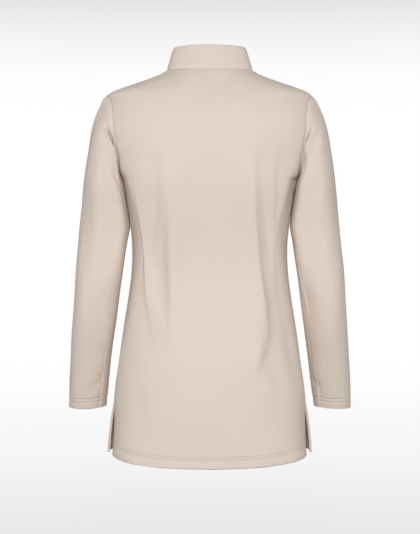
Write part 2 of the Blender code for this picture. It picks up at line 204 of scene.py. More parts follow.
# Creases, each a bent line through three points as seen from behind or in front. The flanks are its
# widths on the +X and -X sides, and a positive depth stands out. At an end of 0 it fades out, and at
# one of 1 it has its full depth. The power is 2 for a rounded crease and near 1 for a sharp one. A
# row that leaves out its last three columns has the usual ones.
CREASE_COLUMNS = (
    "x1", "z1", "x2", "z2", "x3", "z3", "flank_left", "flank_right", "depth", "end1", "end3", "power",
)
CREASE_LENGTHS = 9
CREASE_USUAL = (0.0, 0.0, 2.0)
BACK_CREASES = (
    (150, -166, 144, -235, 138, -320, 6, 6, -1.4),
    (110, -280, 104, -377, 98, -470, 18, 16, -2.2),
    (73, -200, 71, -349, 72, -530, 6, 8, 1.6),
    (127, -420, 106, -474, 83, -535, 7, 8, 2.7),
    (139, -600, 132, -664, 121, -725, 13, 8, -2),
    (48, -300, 47, -420, 46, -560, 10, 12, -1.2),
    (-93, -205, -108, -290, -128, -385, 7, 5, -1.9),
    (-112, -165, -119, -245, -130, -310, 7, 6, 1.4),
    (-88, -490, -92, -540, -78, -585, 9, 7, 3),
    (-104, -535, -126, -580, -146, -640, 9, 13, -2.7),
    (-157, -500, -168, -576, -174, -640, 8, 14, -1.8),
    (-60, -600, -58, -660, -64, -720, 14, 12, -1.2),
    (150, -500, 156, -560, 154, -620, 12, 12, -1.6),
)
FRONT_CREASES = (
    (-122, -270, -104, -350, -88, -440, 14, 8, -3),
    (-60, -290, -52, -400, -56, -530, 10, 12, 2.4),
    (-141, -420, -120, -500, -94, -595, 8, 14, -3),
    (120, -275, 108, -360, 92, -460, 8, 14, -3),
    (66, -300, 68, -410, 76, -510, 12, 9, 2.4),
    (140, -415, 124, -490, 102, -570, 13, 8, -3),
    (10, -350, 12, -450, 20, -550, 13, 10, -1.8),
    (128, -610, 122, -680, 115, -740, 12, 8, -2),
    (-132, -600, -128, -670, -120, -735, 8, 12, -2),
    (-150, -110, -139, -165, -126, -215, 7, 11, -3),
    (152, -106, 142, -160, 130, -214, 11, 7, -3),
    (-148, -235, -128, -248, -104, -252, 8, 8, -2.2),
    (149, -230, 130, -246, 108, -252, 8, 8, -2),
)

# Folds of the panels, each a line through five points. The cloth is level on one side of the line
# and falls away on the other, +X at 1 and -X at -1, and is back up a few flanks further on.
FOLD_COLUMNS = (
    "x1", "z1", "x2", "z2", "x3", "z3", "x4", "z4", "x5", "z5", "flank", "slope", "falls",
)
FOLD_LENGTHS = 11
BACK_FOLDS = (
    (150, -150, 146, -254, 138, -374, 122, -472, 84, -590, 14, 1.05, 1),
    (90, -130, 91, -213, 94, -267, 103, -323, 112, -395, 14, 1.00, 1),
    (85, -190, 80, -310, 79, -378, 78, -444, 77, -545, 24, 0.92, 1),
    (61, -190, 61, -301, 61, -378, 60, -463, 53, -565, 14, 0.60, -1),
    (-88, -130, -87, -265, -98, -390, -112, -505, -80, -600, 28, 1.00, -1),
    (-127, -145, -127, -201, -128, -244, -132, -295, -139, -355, 13, 0.70, -1),
    (-84, -120, -84, -240, -92, -350, -104, -480, -84, -620, 52, 0.60, -1),
    (80, -170, 78, -280, 77, -370, 76, -460, 73, -590, 52, 0.56, 1),
    (-13, -240, -13, -320, -16, -387, -19, -453, -32, -530, 14, 0.40, -1),
)
FRONT_FOLDS = (
    (-92, -255, -90, -320, -84, -390, -80, -460, -88, -540, 13, 0.63, -1),
    (86, -250, 88, -320, 86, -395, 92, -470, 84, -550, 14, 0.63, 1),
    (-142, -225, -138, -290, -134, -350, -126, -420, -104, -500, 12, 0.57, -1),
    (144, -230, 139, -300, 131, -375, 122, -440, 98, -515, 12, 0.57, 1),
    (30, -380, 32, -440, 36, -500, 41, -560, 50, -620, 15, 0.33, 1),
)

# Creases of the sleeves, behind
LEFT_SLEEVE_CREASES = (
    (201, -104, 191.5, -127, 178.5, -156, 1, 1.2, -16, 0.1, 1.0, 1.2),
    (204, -102, 194.5, -129, 181.5, -159, 3.4, 2.2, 2.8, 0.0, 0.8, 2.0),
    (211, -112, 199, -142, 185, -170, 4, 3.6, -1.2, 0.0, 0.4, 2.0),
    (192.5, -172, 179, -194, 166, -222, 8, 5, -6.8, 0.0, 1.0, 1.8),
    (198, -190, 188, -216, 178, -250, 7, 6, 2.4, 0.0, 0.3, 2.0),
    (235, -200, 241, -310, 245, -430, 8, 12, -3.2),
    (211, -180, 215, -283, 218, -400, 11, 11, 2.8),
    (206, -420, 212, -486, 199, -585, 12, 6, -4),
    (213, -600, 226, -622, 242, -630, 5, 5, -1.8, 0.2, 0.0, 2.0),
    (250, -440, 253, -520, 260, -600, 8, 10, 2),
)
RIGHT_SLEEVE_CREASES = (
    (-196.5, -114, -187, -134, -175.5, -153, 1.2, 1, -16, 0.1, 1.0, 1.2),
    (-200, -108, -190, -134, -178.5, -156, 2.2, 3.4, 2.8, 0.0, 0.8, 2.0),
    (-214, -112, -203.5, -139, -192, -166, 3.6, 6, -3.4, 0.0, 0.4, 2.0),
    (-220, -120, -211, -150, -200, -180, 5, 6, 1.8, 0.0, 0.2, 2.0),
    (-188, -150, -179, -168, -169, -194, 6, 8.5, -5.8, 0.0, 1.0, 1.8),
    (-211, -196, -204.5, -223, -194.5, -250, 4, 6, -3.6),
    (-219, -212, -212, -238, -202, -262, 4, 6, -3),
    (-186, -330, -192, -476, -204, -615, 8, 13, -4.8),
    (-240, -390, -243, -470, -247, -570, 12, 12, 3),
    (-240, -200, -244, -290, -249, -380, 12, 8, -2.4),
    (-202, -612, -212, -621, -228, -628, 4, 4, -3.6, 0.5, 0.0, 1.8),
    (-206, -632, -218, -638, -236, -641, 3.5, 3.5, -1.8, 0.5, 0.0, 1.8),
)

# Creases of the sleeves' front halves, for the wearer's left arm; the right arm's are mirrored
SLEEVE_FRONT_CREASES = (
    (203, -104, 190, -136, 177, -165, 3.6, 2.8, -4.6, 0.0, 0.9, 1.5),
    (216, -140, 198, -172, 180, -200, 8, 5, -3.4, 0.0, 0.6, 2.0),
    (198, -330, 222, -360, 246, -378, 7, 5, -3.4, 0.0, 0.0, 1.8),
    (196, -372, 218, -396, 240, -408, 5, 8, -3, 0.0, 0.0, 1.8),
    (238, -440, 244, -500, 252, -570, 9, 10, -2.6),
)
CREASE_POINTS = 20
FOLD_POINTS = 40
CREASE_END_POWER = 1.1
CREASE_EDGE_FADE = 0.030
CREASE_EDGE_POWER = 0.6
FOLD_EDGE_FADE = 0.060
SLEEVE_CREASE_START = 0.004
SLEEVE_SIDE_SHARPNESS = 2.5

# A slow unevenness of the cloth: waves across it and, longer by the stretch, up it. Their slants and
# turns go round by steps, and each piece starts at a phase of its own.
DRAPE_DEPTH = 0.0007
DRAPE_LENGTHS = (0.21, 0.13, 0.083, 0.054)
DRAPE_STRETCH = 1.9
DRAPE_SLANTS = (0.35, 0.4)
DRAPE_SLANT_STEP = 2.3
DRAPE_TURN_STEP = 1.7
DRAPE_SHARES = (1.5, 2.0)
DRAPE_PHASES = {"back": 0.4, "front": 2.1, "left_sleeve": 1.3, "right_sleeve": 3.2}

# The waves of the panels' hems: the length, depth and turn of each
HEM_WAVES = ((0.085, 0.0010, 0.8), (0.0527, 0.0006, 2.0))
HEM_WAVE_REACH = 0.05

# The collar's slight swell above its seam, its rolled top and its waves round the neck
COLLAR_SWELL = (0.0003, 0.005)
COLLAR_SWELL_UP = 0.009
COLLAR_ROLL = (0.0009, 0.0022)
COLLAR_WAVES = 5
COLLAR_WAVE_DEPTH = 0.0006
COLLAR_WAVE_TURN = 0.5
COLLAR_WAVE_START = 0.02


def in_metres(rows, lengths, usual=()):
    """A table as an array, its first columns turned into metres and its short rows filled up."""
    table = np.array([(*row, *usual[len(row) - lengths:]) for row in rows], float)
    table[:, :lengths] /= 1000
    return table


def table_curve(columns, table, along, name):
    """A smooth curve of one column of a table against the numbers in along."""
    values = table[:, columns.index(name)]
    slopes = np.gradient(values, along)

    def curve(at):
        at = np.clip(at, along[0], along[-1])
        row = np.clip(np.searchsorted(along, at, side="right") - 1, 0, len(along) - 2)
        step = along[row + 1] - along[row]
        t = (at - along[row]) / step
        return bent(t, values[row], values[row + 1], step * slopes[row], step * slopes[row + 1])

    return curve


def bent(t, start, end, start_slope, end_slope):
    """The point at t, from 0 to 1, of a smooth curve with those ends and slopes."""
    first = (1 + 2 * t) * (1 - t) ** 2 * start + t * (1 - t) ** 2 * start_slope
    return first + t * t * (3 - 2 * t) * end + t * t * (t - 1) * end_slope


def smooth_step(value):
    value = np.clip(value, 0, 1)
    return value * value * (3 - 2 * value)


TORSO_TABLE = in_metres(TORSO_ROWS, TORSO_LENGTHS)
TORSO = {
    name: table_curve(TORSO_COLUMNS, TORSO_TABLE, TORSO_TABLE[:, 0], name)
    for name in TORSO_COLUMNS[1:]
}
SLEEVE_TABLE = in_metres(SLEEVE_ROWS, len(SLEEVE_COLUMNS))


def section(side, z):
    """Half width, depth and roundness power of the torso form's section at the height z."""
    power = TORSO[side + "_power"](z)
    if side == "back":
        (full_z, top_z), (bottom_z, fading_z) = BACK_CORNER_FADES
        below = smooth_step((top_z - z) / (top_z - full_z))
        above = smooth_step((z - bottom_z) / (fading_z - bottom_z))
        power = power + BACK_CORNER_EXTRA * below * above
    return TORSO[side + "_half"](z), TORSO[side + "_depth"](z), power


def form_point(side, turn, z):
    """The point of the form at a turn of 0 on the side and a quarter circle on the centre line."""
    half, depth, power = section(side, z)
    x = half * np.maximum(np.cos(turn), 0) ** (2 / power)
    y = depth * np.maximum(np.sin(turn), 0) ** (2 / power)
    return x, y


def turn_at(side, y, z):
    """The turn at which the form's section at z has the depth y."""
    _, depth, power = section(side, z)
    return np.arcsin(np.clip(y / depth, 0, 1) ** (power / 2))


def form_height(side, x, y):
    """The height of the form above the point x, y of its shoulders, found by halving."""
    low = np.full(np.shape(x), SHOULDER_LOWEST_Z)
    high = np.zeros(np.shape(x))
    for _ in range(HALVINGS):
        middle = (low + high) / 2
        half, depth, power = section(side, middle)
        outside = (x / half) ** power + (y / depth) ** power > 1
        high = np.where(outside, middle, high)
        low = np.where(outside, low, middle)
    return (low + high) / 2


def armhole(side, share):
    """Depth and height of an armhole seam, from the underarm at 0 to the shoulder tip at 1."""
    (y_low, z_low), (y_high, z_high) = ARMHOLE_HANDLES[side]
    first = 3 * (1 - share) ** 2 * share
    second = 3 * (1 - share) * share**2
    y = first * y_low + second * y_high
    z = (1 - share) ** 3 * UNDERARM_Z + first * z_low + second * z_high + share**3 * SHOULDER_TIP_Z
    return y, z


def spaced(length, cell, fine_start=False, fine_end=False):
    """Shares from 0 to 1 along a length, in cells of that size, with fine steps at the ends named."""
    start = [0.0, *FINE_STEPS] if fine_start else [0.0]
    end = [length - step for step in reversed((0.0, *FINE_STEPS))] if fine_end else [length]
    count = max(2, round((end[0] - start[-1]) / cell) + 1)
    middle = np.linspace(start[-1], end[0], count)
    return np.concatenate([start[:-1], middle, end[1:]]) / length


def stitched(lines, edge_steps, reach):
    """Distances in from an edge to reach, with fine steps at the edge and about each stitch line."""
    around = STITCH_CELL * np.arange(-2, 3)
    fine = [line + step for line in lines for step in around]
    coarse = [d for d in np.arange(CELL, reach, CELL) if min(abs(d - f) for f in fine) > CELL / 2]
    return np.unique(np.round([0.0, *edge_steps, *fine, *coarse, reach], 6))


SPREAD = spaced(HALF_PANEL_WIDTH, CELL, fine_start=True)
HEM_UPS = stitched(HEM_STITCH_LINES, FINE_STEPS[1:4], HEM_TURN + CELL)
SLIT_LEVELS = np.concatenate([
    HEM_SIDE_Z + HEM_UPS[:-1],
    np.linspace(HEM_SIDE_Z + HEM_UPS[-1], SLIT_TOP_Z, round((SLIT_TOP_Z - HEM_SIDE_Z) / CELL)),
])
SIDE_LEVELS = np.linspace(SLIT_TOP_Z, UNDERARM_Z, round((UNDERARM_Z - SLIT_TOP_Z) / CELL) + 1)[1:]
ARMHOLE_SHARES = {
    side: spaced(ARMHOLE_LENGTH, cell, fine_start=True)[1:] for side, cell in ARMHOLE_CELLS.items()
}
SHOULDER_SHARES = spaced(SHOULDER_LENGTH, CELL, fine_end=True)[1:]
FIRST_SIDE_ROW = len(SLIT_LEVELS) - 1
FIRST_ARMHOLE_ROW = FIRST_SIDE_ROW + len(SIDE_LEVELS)
TIP_ROWS = {side: FIRST_ARMHOLE_ROW + len(shares) for side, shares in ARMHOLE_SHARES.items()}


def panel_rows(side):
    """For each row below the shoulders: its edge's depth and height and its centre's height."""
    rows = []
    for z in SLIT_LEVELS:
        open_share = (SLIT_TOP_Z - z) / (SLIT_TOP_Z - HEM_SIDE_Z)
        edge_y = SLIT_BACK_EDGE_Y * open_share if side == "back" else 0.0
        rows.append((edge_y, z, z + (HEM_CENTRE_Z[side] - HEM_SIDE_Z) * open_share))
    for z in SIDE_LEVELS:
        rows.append((0.0, z, z))
    for share in ARMHOLE_SHARES[side]:
        y, z = armhole(side, share)
        rows.append((y, z, UNDERARM_Z + share * (TIP_ROW_CENTRE_Z[side] - UNDERARM_Z)))
    return rows


def half_panel(side):
    """Points of the +X half of a panel, a row for each height, from the edge to the centre line."""
    grid = []
    for edge_y, edge_z, centre_z in panel_rows(side):
        edge_turn = turn_at(side, edge_y, edge_z)
        z = edge_z + (centre_z - edge_z) * np.sin(SPREAD * math.pi / 2) ** 2
        x, y = form_point(side, edge_turn + (math.pi / 2 - edge_turn) * SPREAD, z)
        grid.append(np.stack([x, y, z], axis=1))
    tip_row = grid[-1]
    neck_x = NECK_HALF_WIDTH * np.cos(SPREAD * math.pi / 2)
    neck_y = NECK_DEPTH[side] * np.sin(SPREAD * math.pi / 2)
    for share in SHOULDER_SHARES:
        x = tip_row[:, 0] + (neck_x - tip_row[:, 0]) * share
        y = tip_row[:, 1] + (neck_y - tip_row[:, 1]) * share
        grid.append(np.stack([x, y, form_height(side, x, y)], axis=1))
    return np.array(grid)


def panel(side):
    """A whole panel without its creases, its columns running left around the body."""
    half = half_panel(side)
    opened = smooth_step((SLIT_TOP_Z - half[:, 0, 2]) / SLIT_STEP_LENGTH)
    if side == "front":
        half[:, 0, 0] -= SLIT_FRONT_CURL * opened
    else:
        fading = np.exp(-SPREAD * HALF_PANEL_WIDTH / SLIT_STEP_WIDTH)
        half[:, :, 0] -= SLIT_BACK_STEP * opened[:, None] * fading
    whole = np.concatenate([half, half[:, -2::-1] * (-1, 1, 1)], axis=1)
    if side == "front":
        whole = whole[:, ::-1] * (1, -1, 1)
    return whole


def armhole_ring(back, front, left):
    """The armhole seam's points, from the underarm up behind to the tip and down in front."""
    behind = back[FIRST_ARMHOLE_ROW:TIP_ROWS["back"] + 1, 0 if left else -1]
    ahead = front[FIRST_ARMHOLE_ROW:TIP_ROWS["front"] + 1, -1 if left else 0]
    return np.concatenate([behind, ahead[-2:0:-1]])


def sleeve_stations():
    """Where along the sleeve each ring lies, and where along it each row of its table lies."""
    steps = np.hypot(np.diff(SLEEVE_TABLE[:, 0]), np.diff(SLEEVE_TABLE[:, 1]))
    along = np.concatenate([[0], np.cumsum(steps)])
    cuff = stitched(CUFF_STITCH_LINES, FINE_STEPS[1:4], HEM_TURN + CELL)
    rest = along[-1] - cuff[-1]
    top = spaced(ARMHOLE_CELLS_REACH, ARMHOLE_CELLS["back"], fine_start=True) * ARMHOLE_CELLS_REACH
    arm = np.linspace(top[-1], rest, round((rest - top[-1]) / CELL) + 1)
    return along, np.concatenate([top, arm[1:], along[-1] - cuff[-2::-1]])


def beside_body(stations, reached, fade):
    """How much of a form that a sleeve has beside the body each ring has, from 0 to 1."""
    begin, end = fade
    return smooth_step(stations / reached) * smooth_step((end - stations) / (end - begin))


def sleeve(ring, left):
    """A sleeve without its creases: rings round the arm, which start as the armhole seam."""
    along, stations = sleeve_stations()
    stations = stations[:, None]
    size = {
        name: table_curve(SLEEVE_COLUMNS, SLEEVE_TABLE, along, name)(stations)
        for name in SLEEVE_COLUMNS
    }
    turn = ring_turns() + SLEEVE_SEAM_TURN * smooth_step(stations / along[-1])
    middle_x = (size["outer_x"] + size["inner_x"]) / 2
    middle_z = (size["outer_z"] + size["inner_z"]) / 2
    across, behind = np.cos(turn), np.sin(turn)
    corner = (across > 0) & (behind > 0)
    full = beside_body(stations, INNER_CORNER_REACHED, INNER_CORNER_FADE)
    bend = np.where(corner, 2 / (2 + (INNER_CORNER_POWER - 2) * full), 1)
    lean = np.where(corner, INNER_LEAN_POWERS["behind"], INNER_LEAN_POWERS["ahead"])
    lean = np.maximum(across, 0) ** lean
    across = np.sign(across) * np.abs(across) ** bend
    behind = np.sign(behind) * np.abs(behind) ** bend
    x = middle_x - (size["outer_x"] - middle_x) * across
    z = middle_z - (size["outer_z"] - middle_z) * across
    y = size["middle_y"] + size["half_depth"] * behind
    y -= INNER_LEAN * beside_body(stations, INNER_LEAN_REACHED, INNER_LEAN_FADE) * lean
    rings = np.stack([x if left else -x, y, z], axis=2)
    fade = 1 - smooth_step(stations / along[ARMHOLE_FADE_ROW])
    rings += (ring - rings[0]) * fade[..., None]
    return rings if left else rings[:, ::-1]


def ring_turns():
    """The turn of each of a ring's points: half a circle up the back and half down the front."""
    behind = np.concatenate([[0.0], ARMHOLE_SHARES["back"]]) * math.pi
    ahead = 2 * math.pi - ARMHOLE_SHARES["front"][-2::-1] * math.pi
    return np.concatenate([behind, ahead])


def collar(back, front):
    """The collar's rings, from the neck seam up, each a little smaller and further forward."""
    seam = np.concatenate([back[-1, :-1], front[-1, :-1]])
    centre = np.array([0.0, COLLAR_CENTRE_Y])
    behind = np.clip(seam[:, 1] / NECK_DEPTH["back"], 0, 1)
    rings = []
    for share in spaced(COLLAR_HEIGHT, COLLAR_CELL, fine_start=True, fine_end=True):
        ring = seam.copy()
        ring[:, :2] = centre + (seam[:, :2] - centre) * (1 - (1 - np.array(COLLAR_TAPER)) * share)
        ring[:, 2] += share * (COLLAR_HEIGHT + COLLAR_BACK_RISE * behind)
        rings.append(ring)
    return np.array(rings)


def unit(vectors):
    return vectors / np.maximum(np.linalg.norm(vectors, axis=-1, keepdims=True), 1e-12)


def wrapped(points, closed=True):
    """A closed grid with its first column again at its end, and an open one as it is."""
    return np.concatenate([points, points[:, :1]], axis=1) if closed else points


def grid_normals(points, closed):
    """Outward normals of a grid's points, from the cells around each."""
    wide = wrapped(points, closed)
    normals = np.zeros_like(wide)
    along = wide[1:, 1:] - wide[:-1, :-1]
    against = wide[1:, :-1] - wide[:-1, 1:]
    cell = np.cross(along, against)
    for rows in (slice(None, -1), slice(1, None)):
        for columns in (slice(None, -1), slice(1, None)):
            normals[rows, columns] += cell
    if closed:
        normals[:, 0] += normals[:, -1]
        normals = normals[:, :-1]
    return unit(normals)


def arc_lengths(points, axis):
    """Distance run along an axis of a grid, from its first row or column."""
    steps = np.linalg.norm(np.diff(points, axis=axis), axis=2)
    start = np.zeros_like(np.take(steps, [0], axis=axis))
    return np.concatenate([start, np.cumsum(steps, axis=axis)], axis=axis)


def side_distance(points):
    """Each point's distance along the cloth from the nearer side of its grid."""
    from_first = arc_lengths(points, 1)
    return np.minimum(from_first, from_first[:, -1:] - from_first)


def crease_line(row):
    """The points of a crease: a curve of the second degree through its three points."""
    crease = dict(zip(CREASE_COLUMNS, row))
    p1, p2, p3 = (np.array([crease["x" + n], crease["z" + n]]) for n in "123")
    t = np.linspace(0, 1, CREASE_POINTS)[:, None]
    handle = 2 * p2 - (p1 + p3) / 2
    return crease, (1 - t) ** 2 * p1 + 2 * t * (1 - t) * handle + t * t * p3


def fold_line(row):
    """The points of a fold: a smooth curve through its five points."""
    fold = dict(zip(FOLD_COLUMNS, row))
    knots = np.array([[fold["x" + n], fold["z" + n]] for n in "12345"])
    slopes = np.gradient(knots, axis=0)
    at = np.linspace(0, len(knots) - 1, FOLD_POINTS)
    span = np.minimum(at.astype(int), len(knots) - 2)
    t = (at - span)[:, None]
    return fold, bent(t, knots[span], knots[span + 1], slopes[span], slopes[span + 1])


def place_beside(flat, line):
    """Each point's distance from a line, whether it lies to its +X side, and its share along."""
    nearest = np.full(flat.shape[:-1], np.inf)
    across = np.zeros(flat.shape[:-1])
    share = np.zeros(flat.shape[:-1])
    for place, (start, end) in enumerate(zip(line[:-1], line[1:])):
        run = end - start
        offset = flat - start
        along = np.clip(offset @ run / (run @ run), 0, 1)
        gap = np.linalg.norm(offset - along[..., None] * run, axis=-1)
        side = offset[..., 1] * run[0] - offset[..., 0] * run[1]
        closer = gap < nearest
        nearest = np.where(closer, gap, nearest)
        across = np.where(closer, side, across)
        share = np.where(closer, (place + along) / (len(line) - 1), share)
    downward = line[-1, 1] < line[0, 1]
    return nearest, (across > 0) == downward, share


def crease_height(points, creases, mirror=False):
    """How far the creases lift or sink each point, from its place across and along each line."""
    flat = points[..., (0, 2)] * ((-1, 1) if mirror else (1, 1))
    height = np.zeros(flat.shape[:-1])
    for row in in_metres(creases, CREASE_LENGTHS, CREASE_USUAL):
        crease, line = crease_line(row)
        nearest, to_left, share = place_beside(flat, line)
        flank = np.where(to_left, crease["flank_left"], crease["flank_right"])
        first = crease["end1"] / 2
        last = 1 - crease["end3"] / 2
        swell = np.sin(math.pi * (first + (last - first) * share)) ** CREASE_END_POWER
        height += crease["depth"] * np.exp(-0.5 * (nearest / flank) ** crease["power"]) * swell
    return height


def fold_height(points, folds):
    """How far the folds sink each point on the side of each line where the cloth falls away."""
    flat = points[..., (0, 2)]
    height = np.zeros(flat.shape[:-1])
    for row in in_metres(folds, FOLD_LENGTHS):
        fold, line = fold_line(row)
        nearest, to_left, share = place_beside(flat, line)
        falls = to_left == (fold["falls"] > 0)
        swell = np.sin(math.pi * share) ** CREASE_END_POWER
        height -= fold["slope"] * nearest * np.exp(-nearest / fold["flank"]) * swell * falls
    return height


def groove(distance, sizes):
    """A soft groove along a line, at that distance from it."""
    depth, width = sizes
    return -depth * np.exp(-0.5 * (distance / width) ** 2)


def neck_groove(distance, seam_x, behind):
    """The neck seam's groove, which is shallower near the middle of the back."""
    shallow = np.exp(-0.5 * ((seam_x - NECK_SHALLOW_X) / NECK_SHALLOW_WIDTH) ** 2)
    return groove(distance, NECK_GROOVE) * (1 - NECK_SHALLOWING * shallow * behind)


def tuck(seam_z, distance, kind):
    """The armpit's tuck: the armhole seam sinks in below a height, and fades under the arm."""
    begin = smooth_step((TUCK_TOP_Z - seam_z) / TUCK_FADE)
    end = smooth_step(1 + (seam_z - UNDERARM_Z) / TUCK_FADE)
    return groove(distance, TUCKS[kind]) * begin * end


def drape(across, up, phase):
    """Slow unevenness of hanging cloth, from a few long waves of unlike length and slant."""
    height = np.zeros_like(across)
    for number, length in enumerate(DRAPE_LENGTHS):
        slant = math.sin(DRAPE_SLANT_STEP * number + phase)
        across_turn = 2 * math.pi * (across + DRAPE_SLANTS[0] * slant * up) / length
        up_turn = 2 * math.pi * (up - DRAPE_SLANTS[1] * slant * across) / (DRAPE_STRETCH * length)
        height += np.sin(across_turn + DRAPE_TURN_STEP * number + phase) / (number + DRAPE_SHARES[0])
        height += np.sin(up_turn + phase) / (number + DRAPE_SHARES[1])
    return DRAPE_DEPTH * height


def dress_panel(side, points, creases, folds, normals):
    """A panel with its creases, its seams' and stitches' grooves and the waves of its hem."""
    from_first = arc_lengths(points, 1)
    edge = side_distance(points)
    up = arc_lengths(points, 0)
    from_neck = up[-1:] - up
    row = np.arange(len(points))[:, None]
    sewn = (row >= FIRST_SIDE_ROW) * 1.0
    near_edge = smooth_step(edge / CREASE_EDGE_FADE)
    height = crease_height(points, creases) * near_edge ** CREASE_EDGE_POWER
    height += fold_height(points, folds) * smooth_step(edge / FOLD_EDGE_FADE)
    height += drape(from_first, up, DRAPE_PHASES[side]) * near_edge
    height += groove(edge, SEAM_GROOVE) * sewn
    height += tuck(points[:, :1, 2], edge, "panel")
    height += neck_groove(from_neck, points[-1, :, 0], side == "back")
    for line in HEM_STITCH_LINES:
        height += groove(up - line, STITCH_GROOVE)
    slit = smooth_step((FIRST_SIDE_ROW - row) / SLIT_FADE_ROWS)
    height += groove(edge - SLIT_STITCH_LINE, STITCH_GROOVE) * slit
    near_hem = (1 - smooth_step(up / HEM_WAVE_REACH)) * near_edge
    for length, depth, turn in HEM_WAVES:
        height += depth * np.sin(2 * math.pi * from_first / length + turn) * near_hem
    return points + normals * height[..., None]


def dress_sleeve(side, points, creases, normals):
    """A sleeve with its creases, its seams' and stitches' grooves."""
    along = arc_lengths(points, 0)
    around = arc_lengths(points, 1)
    from_seam = side_distance(wrapped(points))[:, :-1]
    from_cuff = along[-1:] - along
    behind = smooth_step(normals[..., 1] * SLEEVE_SIDE_SHARPNESS)
    ahead = smooth_step(-normals[..., 1] * SLEEVE_SIDE_SHARPNESS)
    begin = smooth_step(along / SLEEVE_CREASE_START)
    height = crease_height(points, creases) * behind * begin
    mirror = side == "right_sleeve"
    height += crease_height(points, SLEEVE_FRONT_CREASES, mirror) * ahead * begin
    height += drape(around, along, DRAPE_PHASES[side]) * begin
    near, far = SLEEVE_SEAM_FADE
    fading = smooth_step((from_cuff - near) / (far - near))
    height += groove(from_seam, SEAM_GROOVE) * (1 - (1 - SLEEVE_SEAM_LEFT) * fading)
    height += groove(along, SEAM_GROOVE)
    height += tuck(points[:1, :, 2], along, "sleeve")
    for line in CUFF_STITCH_LINES:
        height += groove(from_cuff - line, STITCH_GROOVE)
    return points + normals * height[..., None]


def dress_collar(points, normals):
    """The collar with its neck seam's groove and a slight roll of its folded top."""
    up = arc_lengths(points, 0)
    height = neck_groove(up, points[0, :, 0], points[0, :, 1] > 0)
    height -= groove(up - COLLAR_SWELL_UP, COLLAR_SWELL)
    height += groove(up[-1:] - up, COLLAR_ROLL)
    turn = np.linspace(0, 2 * math.pi, points.shape[1], endpoint=False)
    wave = np.sin(COLLAR_WAVES * turn + COLLAR_WAVE_TURN)[None, :]
    height += COLLAR_WAVE_DEPTH * wave * smooth_step(up / COLLAR_WAVE_START)
    return points + normals * height[..., None]


def cell_corners(rows, columns, closed):
    """The row and column of each cell's four corners; a closed grid goes on into its first column."""
    across = columns if closed else columns - 1
    row, column = np.meshgrid(np.arange(rows - 1), np.arange(across), indexing="ij")
    row, column = row.ravel(), column.ravel()
    corner_columns = np.stack([column, column + 1, column + 1, column], 1)
    return np.stack([row, row, row + 1, row + 1], 1), corner_columns


def rim_loops(rows, columns, closed):
    """The rim of a grid, with the cloth on its left: one loop, or two on a tube."""
    numbers = np.arange(rows * columns).reshape(rows, columns)
    if closed:
        return [numbers[0], numbers[-1, ::-1]]
    sides = [numbers[0], numbers[1:, -1], numbers[-1, -2::-1], numbers[-2:0:-1, 0]]
    return [np.concatenate(sides)]


def outward(loop, normals):
    """The direction out of the cloth's edge at each point of a rim, and longer at its corners."""
    first = unit(np.cross(loop - np.roll(loop, 1, axis=0), normals))
    second = unit(np.cross(np.roll(loop, -1, axis=0) - loop, normals))
    mitre = np.maximum(1 + (first * second).sum(1, keepdims=True), MITRE_LIMIT)
    return (first + second) / mitre


def shell(name, points, normals, depth, closed, free, uv, material):
    """A cloth shell: an outer face, an inner one a wall's depth in, and a rim, rounded where free."""
    rows, columns = points.shape[:2]
    flat = points.reshape(-1, 3)
    flat_normals = normals.reshape(-1, 3)
    depth = np.broadcast_to(depth, (rows, columns)).reshape(-1, 1)
    free = free.reshape(-1, 1)
    outer = flat.copy()
    rims = []
    for loop in rim_loops(rows, columns, closed):
        out = outward(flat[loop], flat_normals[loop])
        outer[loop] -= out * (SEAM_GAP / 2 * (1 - free[loop]) + depth[loop] / 2 * free[loop])
        rims.append((loop, out))
    vertices = [outer, outer - flat_normals * depth]
    count = len(flat)
    corner_row, corner_column = cell_corners(rows, columns, closed)
    corner_number = corner_row * columns + corner_column % columns
    faces = [corner_number, corner_number[:, ::-1] + count]
    corner_uv = uv[corner_row, corner_column]
    uvs = [corner_uv, corner_uv[:, ::-1]]
    total = 2 * count
    for loop, out in rims:
        half = flat_normals[loop] * depth[loop] / 2
        bulge = out * depth[loop] / 2 * free[loop]
        middle = outer[loop] - half
        levels = [loop]
        for angle in RIM_ANGLES:
            vertices.append(middle + half * math.cos(angle) + bulge * math.sin(angle))
            levels.append(np.arange(total, total + len(loop)))
            total += len(loop)
        levels.append(loop + count)
        loop_uv = uv.reshape(-1, 2)[(loop // columns) * uv.shape[1] + loop % columns]
        next_uv = np.roll(loop_uv, -1, 0)
        for upper, lower in zip(levels[:-1], levels[1:]):
            faces.append(np.stack([np.roll(upper, -1), upper, lower, np.roll(lower, -1)], 1))
            uvs.append(np.stack([next_uv, loop_uv, loop_uv, next_uv], 1))
    mesh = mesh_from(name, np.concatenate(vertices), np.concatenate(faces))
    layer = mesh.uv_layers.new(name="cloth")
    layer.uv.foreach_set("vector", np.concatenate(uvs).astype(np.float32).ravel())
    return add_piece(name, mesh, material)


def mesh_from(name, vertices, faces):
    """A smooth mesh of faces with four corners each."""
    mesh = bpy.data.meshes.new(name)
    mesh.vertices.add(len(vertices))
    mesh.vertices.foreach_set("co", vertices.astype(np.float32).ravel())
    mesh.loops.add(faces.size)
    mesh.loops.foreach_set("vertex_index", faces.astype(np.int32).ravel())
    mesh.polygons.add(len(faces))
    mesh.polygons.foreach_set("loop_start", np.arange(0, faces.size, faces.shape[1], dtype=np.int32))
    mesh.update(calc_edges=True)
    mesh.shade_smooth()
    return mesh


def add_piece(name, mesh, material):
    mesh.materials.append(material)
    piece = bpy.data.objects.new(name, mesh)
    bpy.context.scene.collection.objects.link(piece)
    return piece


